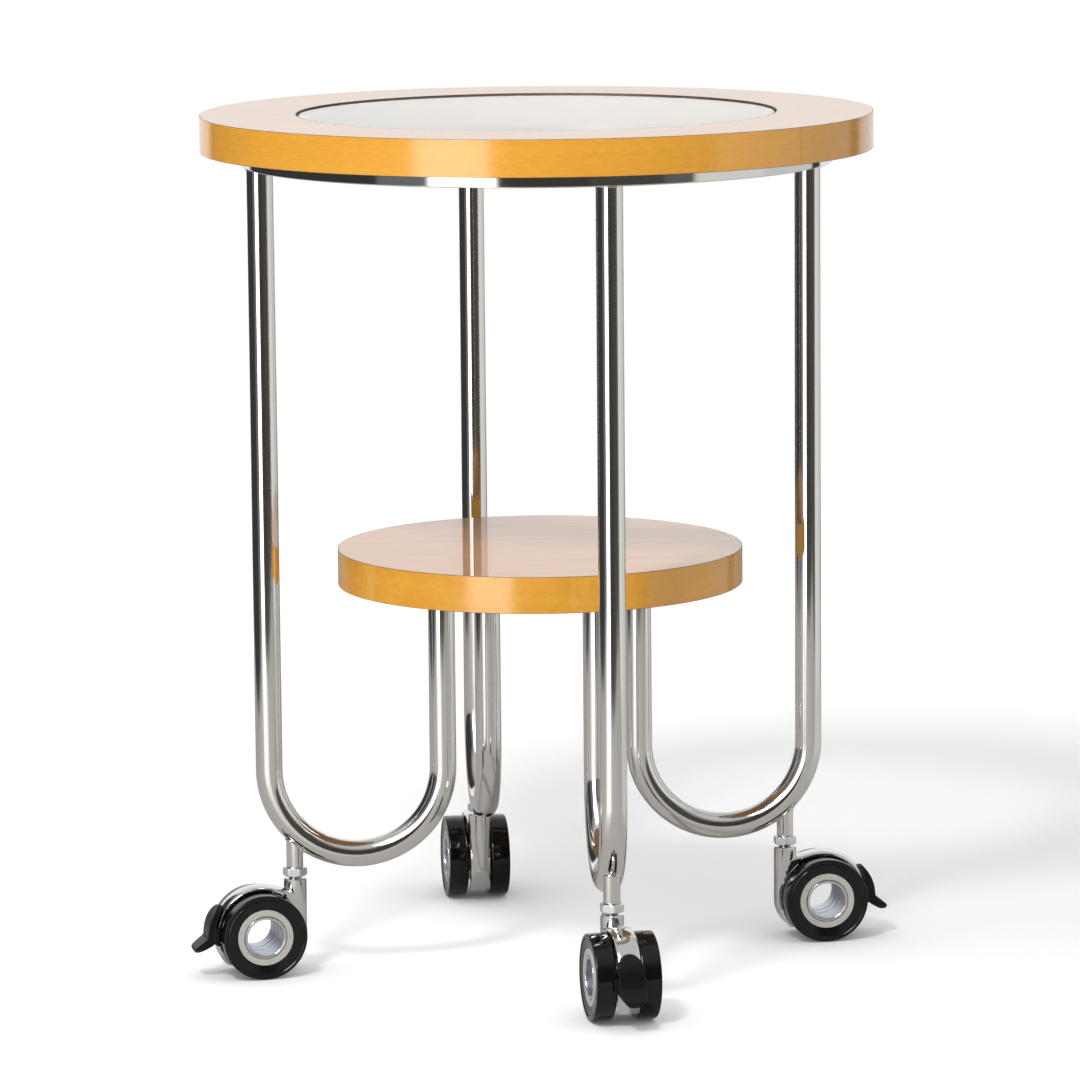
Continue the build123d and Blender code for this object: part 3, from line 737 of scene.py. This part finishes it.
# The opening's band is the same wood painted near black: painted shade for the shadowed gap round the
# glass.
opening_wood_painted_shade = lacquered_wood("opening_wood_painted_shade", (0.09, 0.045, 0.028), (0.06, 0.028, 0.018),
                              edge=(0.16, 0.08, 0.04), bump_depth=0.00001, roughness=0.35)
under_wood = lacquered_wood("under_wood", (0.50, 0.30, 0.15), (0.40, 0.22, 0.10),
                            edge=(0.55, 0.36, 0.2), bump_depth=0.00002, roughness=0.4, bent=False)

board_section = rounded([
    (ledge, top_bottom, 0.0003),
    (top_radius - band, top_bottom, 0.0),
    (top_radius - band, top_z - band, 0.0),
    (opening + band, top_z - band, 0.0),
    (opening + band, ledge_z, 0.0),
    (ledge, ledge_z, 0.0006),
])
top_board = dress(turned("top_board_visual", board_section, top_around), under_wood)
stands_for(top_board, "table", "wood_core", "top_board")

top_face_section = rounded([
    (opening + band, top_z - band, 0.0),
    (top_radius - band, top_z - band, 0.0),
    (top_radius - band, top_z, veneer_edge),
    (opening + band, top_z, veneer_edge),
])
top_face = dress(turned("top_veneer_visual", top_face_section, top_around), veneer_wood)
stands_for(top_face, "table", "veneer", "top_veneer")


def edge_band(name, radius, bottom, top, joint_angle):
    """Band round a board, its corners eased by sanding and darker, open by a hair at its joint."""
    section = rounded([
        (radius - band, bottom, 0.0),
        (radius, bottom, band_corner),
        (radius, top, band_corner),
        (radius - band, top, veneer_edge),
    ], steps=6)
    piece = dress(jointed(name, section, band_around, joint_angle), band_wood)
    piece.data.materials.append(band_edge)
    for face in piece.data.polygons:
        height = face.center.z
        at_corner = height > top - band_corner or height < bottom + band_corner
        if at_corner and face.center.xy.length > radius - dark_edge:
            face.material_index = 1
    return piece


outer_band = edge_band("top_band_visual", top_radius, top_bottom, top_z, band_joint_angle)
stands_for(outer_band, "table", "edge_band", "top_edge_band")

opening_section = rounded([
    (opening, ledge_z, 0.0),
    (opening + band, ledge_z, 0.0),
    (opening + band, top_z, veneer_edge),
    (opening, top_z, 0.0003),
])
# Its near-black wood is painted shade.
opening_band = dress(turned("opening_band_visual", opening_section, top_around), opening_wood_painted_shade)
stands_for(opening_band, "table", "edge_band", "opening_edge_band")

# Glass. A 6 mm disc of clear float glass with its edge ground and polished.
# It lies on eight clear pads on the ledge, a millimetre short all round.
glass_radius = 0.177
glass_bottom = 0.633
glass_top = 0.639
glass_corner = 0.0009
glass_section = rounded([
    (0.0, glass_bottom, 0.0),
    (glass_radius, glass_bottom, glass_corner),
    (glass_radius, glass_top, glass_corner),
    (0.0, glass_top, 0.0),
])

clear_glass, tree, inputs = finish("clear_glass", Metallic=0.0, Transmission_Weight=1.0, IOR=1.5)
place = own_place(tree)
reach = from_axis(tree, add(tree, "ShaderNodeSeparateXYZ", {0: place}).outputs)
at_edge = ramp(tree, maths(tree, "DIVIDE", reach, glass_radius), [(0.985, 0.0), (0.997, 1.0)])
tint = blended(tree, at_edge, (0.69, 0.765, 0.785), (0.48, 0.66, 0.64))
tree.links.new(tint, inputs["Base Color"])
smear = noise(tree, place, 14.0, 3.0)
tree.links.new(maths(tree, "MULTIPLY", smear, 0.02), inputs["Roughness"])
bump(tree, inputs, noise(tree, place, 7.0, 1.0), 0.00002)
glass = dress(turned("glass_visual", glass_section, 256), clear_glass)
glass.visible_shadow = False
stands_for(glass, "table", "glass", "glass_disc")

pad_gel, tree, inputs = finish("pad_gel", Transmission_Weight=0.6, IOR=1.45)
milk = noise(tree, own_place(tree), 500.0, 2.0)
milky = blended(tree, milk, (0.78, 0.80, 0.80), (0.90, 0.92, 0.92))
tree.links.new(milky, inputs["Base Color"])
tree.links.new(maths(tree, "MULTIPLY_ADD", milk, 0.2, 0.2), inputs["Roughness"])
rounded_shading("glass_pads", pad_gel, edge=0.0002)

# Shelf. A solid 27 mm board, made like the top. It rests on the four short
# limbs, whose studs go into metal inserts let into its underside. A bead of
# weld runs round the plug in the end of each limb.
shelf_radius = 0.152
shelf_top = 0.314
shelf_joint_angle = 128.0
shelf_around = 192
shelf_weld_size = 0.0005
shelf_section = rounded([
    (0.0, shelf_underside_z, 0.0),
    (shelf_radius - band, shelf_underside_z, 0.0),
    (shelf_radius - band, shelf_top - band, 0.0),
    (0.0, shelf_top - band, 0.0),
])
shelf = dress(turned("shelf_board_visual", shelf_section, shelf_around), under_wood)
stands_for(shelf, "table", "wood_core", "shelf_board")
shelf_face_section = rounded([
    (0.0, shelf_top - band, 0.0),
    (shelf_radius - band, shelf_top - band, 0.0),
    (shelf_radius - band, shelf_top, veneer_edge),
    (0.0, shelf_top, 0.0),
])
shelf_face = dress(turned("shelf_veneer_visual", shelf_face_section, shelf_around), veneer_wood)
stands_for(shelf_face, "table", "veneer", "shelf_veneer")
shelf_band = edge_band("shelf_band_visual", shelf_radius, shelf_underside_z, shelf_top,
                       shelf_joint_angle)
stands_for(shelf_band, "table", "edge_band", "shelf_edge_band")
zinc = plating("zinc", (0.76, 0.80, 0.82), (0.86, 0.90, 0.92),
               smoothness=0.16, spread=0.14, mark_depth=0.000004, scale=220.0)
rounded_shading("shelf_studs", screw_steel)
rounded_shading("shelf_inserts", zinc)
limb_end = level_circle(inner_limb, shelf_underside_z - 0.0004, tube_radius - 0.0003)
for name, (leg_angle, _) in legs.items():
    weld_bead(f"shelf_weld_{name}", limb_end, shelf_weld_size, leg_angle)

# Lock nuts and stems. Each caster screws up into its socket on an M10 stem of
# bright zinc, and a hexagon nut of bluish zinc is run up to lock it. A spring
# ring in the stem's groove holds the caster on.
thread_outer = 0.0050
thread_pitch = 0.0015
thread_depth = 0.0008
thread_bottom = 0.0716
thread_end = 0.1020
stem_bottom = 0.0440
stem_journal = 0.0044
stem_groove = 0.0036
stem_around = 48
nut_bottom = 0.0733
nut_top = 0.0798
nut_flat = 0.0080
nut_bore = 0.0051
nut_mouth = 0.0057
nut_around = 96


def flat_circle(radius, z, around):
    """Ring of points level round the Z axis."""
    return [(radius * math.cos(turn), radius * math.sin(turn), z) for turn in steps_round(around)]


def threaded_stem(name):
    """Turned stem whose upper part carries a helical thread."""
    rows = [flat_circle(radius, z, stem_around) for radius, z in [
        (0.0, stem_bottom), (0.0038, stem_bottom), (stem_journal, 0.0446), (stem_journal, 0.0500),
        (stem_groove, 0.0500), (stem_groove, 0.0516), (stem_journal, 0.0516),
        (stem_journal, thread_bottom)]]
    steps = int((thread_end - thread_bottom) / thread_pitch * 10)
    for step in range(steps):
        z = thread_bottom + (thread_end - thread_bottom) * step / (steps - 1)
        row = []
        for k, turn in enumerate(steps_round(stem_around)):
            phase = (z / thread_pitch - k / stem_around) % 1.0
            wave = abs(2 * phase - 1)
            radius = thread_outer - thread_depth * min(1.0, 1.25 * wave)
            row.append((radius * math.cos(turn), radius * math.sin(turn), z))
        rows.append(row)
    rows.append([(0.0, 0.0, thread_end)] * stem_around)
    return skinned(name, rows, ring_rows=False)


def hexagon(turn):
    """Distance from the nut's middle to its flats in a direction."""
    return nut_flat / math.cos((turn + math.pi / 6) % (math.pi / 3) - math.pi / 6)


def hexagon_nut(name):
    """Nut with its corners turned off at both ends and its bore countersunk."""
    corner = nut_flat / math.cos(math.radians(30))
    rim = nut_flat - 0.0003
    height = nut_top - nut_bottom
    levels = [0.0, 0.00025, 0.0005, 0.0008, 0.0011, 0.5 * height]
    levels = levels + [height - level for level in reversed(levels[:-1])]
    rows = []
    for level in levels:
        limit = rim + min(level, height - level) / math.tan(math.radians(30))
        row = []
        for turn in steps_round(nut_around):
            radius = min(hexagon(turn), limit, corner - 0.0001)
            row.append((radius * math.cos(turn), radius * math.sin(turn), nut_bottom + level))
        rows.append(row)
    for radius, z in [(nut_mouth, nut_top), (nut_bore, nut_top - 0.0006),
                      (nut_bore, nut_bottom + 0.0006), (nut_mouth, nut_bottom)]:
        rows.append(flat_circle(radius, z, nut_around))
    return skinned(name, rows, crease=24)


def joined(name, pieces):
    """One object from several."""
    form = bmesh.new()
    for piece in pieces:
        form.from_mesh(piece.data)
        bpy.data.objects.remove(piece)
    mesh = bpy.data.meshes.new(name)
    form.to_mesh(mesh)
    form.free()
    whole = bpy.data.objects.new(name, mesh)
    bpy.context.scene.collection.objects.link(whole)
    even_normals(whole)
    return whole


def at_each_stem(name, make, turns):
    """The same small piece at all four casters, each turned its own way."""
    pieces = []
    for (leg_angle, _), turn in zip(legs.values(), turns):
        piece = make(f"{name}_one")
        spin = Matrix.Rotation(math.radians(turn), 4, "Z")
        piece.data.transform(beside_leg(leg_angle, along=socket_x) @ spin)
        pieces.append(piece)
    return joined(name, pieces)


bright_zinc = plating("bright_zinc", (0.62, 0.63, 0.65), (0.75, 0.76, 0.78),
                      smoothness=0.16, spread=0.12, mark_depth=0.000004, scale=200.0)
stems = dress(at_each_stem("stems_visual", threaded_stem, (0, 40, 90, 200)), bright_zinc)
stands_for(stems, "table", "zinc_plate", "caster_stems")
nuts = dress(at_each_stem("lock_nuts_visual", hexagon_nut, (4, 52, 23, 37)), zinc)
stands_for(nuts, "table", "zinc_plate", "lock_nuts")
rounded_shading("grip_rings", screw_steel)

# Casters. Each housing is one zinc die casting, chromed: a crowned hood over
# the wheels, an arm back to the upright boss for the stem, and a thin web
# between the wheels with a collar for the hollow axle.
cast_chrome = plating("cast_chrome", (0.76, 0.755, 0.745), (0.88, 0.875, 0.87),
                      smoothness=0.06, spread=0.05, mark_depth=0.000002, scale=90.0)
for name in legs:
    rounded_shading(f"caster_housing_{name}", cast_chrome, edge=0.00025)

# Wheels. Two to a caster, each a satin grey hub moulded with a hollow middle
# and a glossy black tyre. The axle between them is a thin chromed sleeve in
# two halves, each flared at its mouth, so its middle stays open.
socket_to_axle = 0.028
axle_z = 0.032
sleeve_outer = 0.01445
sleeve_bore = 0.0137
sleeve_lip = 0.01575
sleeve_end = 0.0235
sleeve_recess = 0.00018
disc_bore = 0.0145
disc_inside = 0.0088
hub_face = 0.0233
hub_face_radius = 0.021
wheel_inner = 0.0086
wheel_outer = 0.024
wheel_radius = 0.032
tyre_seat = 0.025
seat_inside = 0.0096
seat_outside = 0.0215
wheel_around = 144


def at_caster(leg_angle, swivel):
    """Place of a caster's own frame: the axle along Y at its origin, the trail along X."""
    turn = Matrix.Rotation(math.radians(swivel), 4, "Z")
    to_axle = Matrix.Translation((socket_to_axle, 0, axle_z))
    return beside_leg(leg_angle, along=socket_x) @ turn @ to_axle


def turned_on_axle(name, outline):
    """Piece turned about the caster's axle from an outline of (radius, across) points."""
    rows = [[(radius * math.cos(turn), across, radius * math.sin(turn)) for radius, across in outline]
            for turn in steps_round(wheel_around)]
    return skinned(name, rows)


def flipped(outline):
    """The same outline for the other side of the caster."""
    return [Vector((radius, -across)) for radius, across in outline]


sleeve_section = rounded([
    (sleeve_bore, 0.0, 0.0),
    (sleeve_outer, 0.0, 0.0),
    (sleeve_outer, 0.0217, 0.0008),
    (sleeve_lip, 0.0228, 0.0002),
    (sleeve_lip, sleeve_end, 0.0006),
    (sleeve_bore, sleeve_end, 0.0016),
    (sleeve_bore, 0.0088, 0.0),
    (sleeve_bore + sleeve_recess, 0.0086, 0.0),
    (sleeve_bore + sleeve_recess, 0.0012, 0.0),
    (sleeve_bore, 0.0010, 0.0),
])
disc_section = rounded([
    (disc_bore, disc_inside, 0.0),
    (0.0200, disc_inside, 0.0002),
    (0.0200, seat_inside, 0.0002),
    (tyre_seat, seat_inside, 0.0),
    (tyre_seat, seat_outside, 0.0),
    (hub_face_radius, seat_outside, 0.0),
    (hub_face_radius, hub_face, 0.0004),
    (0.0164, hub_face, 0.0002),
    (0.0163, 0.0212, 0.0002),
    (disc_bore, 0.0210, 0.0),
])
tyre_section = rounded([
    (tyre_seat, seat_inside, 0.0),
    (tyre_seat, 0.0089, 0.0002),
    (0.0260, wheel_inner, 0.0006),
    (wheel_radius - 0.0002, wheel_inner, 0.0028),
    (wheel_radius, 0.0160, 0.006),
    (wheel_radius - 0.0002, wheel_outer, 0.0030),
    (0.0295, wheel_outer, 0.0010),
    (0.0287, wheel_outer - 0.0008, 0.0008),
    (0.0279, wheel_outer - 0.0003, 0.0008),
    (0.02115, 0.0229, 0.0003),
    (0.02115, seat_outside, 0.0),
    (tyre_seat, seat_outside, 0.0),
], steps=8)

satin_bore = plating("satin_bore", (0.60, 0.64, 0.72), (0.74, 0.77, 0.82),
                     smoothness=0.30, spread=0.16, mark_depth=0.000008, scale=300.0)
satin_hub, tree, inputs = finish("satin_hub", Metallic=0.0, IOR=1.5)
marks = used(tree, polish_marks, Smoothness=0.34, Spread=0.14, Scale=260.0)
edge_mask = used(tree, edge_wear_and_highlight, Width=0.0004)
shade = blended(tree, marks["Cloud"], (0.46, 0.452, 0.425), (0.56, 0.55, 0.52))
# Its edges take a lighter grey: a painted highlight.
tree.links.new(blended(tree, edge_mask["Mask"], shade, (0.78, 0.77, 0.73)), inputs["Base Color"])
tree.links.new(marks["Roughness"], inputs["Roughness"])
bump(tree, inputs, marks["Height"], 0.000006)

tyre_rubber, tree, inputs = finish("tyre_rubber", IOR=1.5, Specular_IOR_Level=0.36)
place = own_place(tree)
dust = noise(tree, place, 120.0, 4.0)
black = blended(tree, dust, (0.003, 0.003, 0.0032), (0.006, 0.006, 0.0063))
tree.links.new(black, inputs["Base Color"])
tree.links.new(maths(tree, "MULTIPLY_ADD", dust, 0.06, 0.04), inputs["Roughness"])
bump(tree, inputs, noise(tree, place, 2200.0, 1.0), 0.000001)

for name, (leg_angle, swivel) in legs.items():
    place = at_caster(leg_angle, swivel)
    halves = [turned_on_axle("half", sleeve_section), turned_on_axle("half", flipped(sleeve_section))]
    sleeves = joined(f"sleeves_{name}_visual", halves)
    sleeves.data.transform(place)
    dress(sleeves, chrome)
    sleeves.data.materials.append(satin_bore)
    to_axle = place.inverted()
    for face in sleeves.data.polygons:
        local = to_axle @ face.center
        if math.hypot(local.x, local.z) < sleeve_bore + 0.0003 and abs(local.y) < 0.0215:
            face.material_index = 1
    stands_for(sleeves, f"caster_{name}", "chrome", f"axle_sleeves_{name}")
    for side, turn in (("a", list), ("b", flipped)):
        disc = turned_on_axle(f"hub_{name}_{side}_visual", turn(disc_section))
        disc.data.transform(place)
        dress(disc, satin_hub)
        stands_for(disc, f"wheel_{name}_{side}", "satin_grey", f"wheel_disc_{name}_{side}")
        tyre = turned_on_axle(f"tyre_{name}_{side}_visual", turn(tyre_section))
        tyre.data.transform(place)
        dress(tyre, tyre_rubber)
        stands_for(tyre, f"wheel_{name}_{side}", "tyre", f"tyre_{name}_{side}")

# Brake levers. A rocker moulded in black plastic sits over the hood on a steel
# pin. Pressing the lip turns it, and the shoe inside comes down on the tyres.
lever_plastic, tree, inputs = finish("lever_plastic", IOR=1.5, Specular_IOR_Level=0.22)
place = own_place(tree)
rubbed = noise(tree, place, 90.0, 3.0)
edge_mask = used(tree, edge_wear_and_highlight, Width=0.0006)
shade = blended(tree, rubbed, (0.004, 0.004, 0.0044), (0.008, 0.008, 0.0085))
# Its edges take a dark grey: a painted highlight round the rim.
tree.links.new(blended(tree, edge_mask["Mask"], shade, (0.09, 0.09, 0.092)), inputs["Base Color"])
tree.links.new(maths(tree, "MULTIPLY_ADD", rubbed, 0.16, 0.26), inputs["Roughness"])
bump(tree, inputs, noise(tree, place, 1500.0, 2.0), 0.00001)
for name in legs:
    rounded_shading(f"brake_lever_{name}", lever_plastic, edge=0.0004)
    rounded_shading(f"lever_pin_{name}", screw_steel)
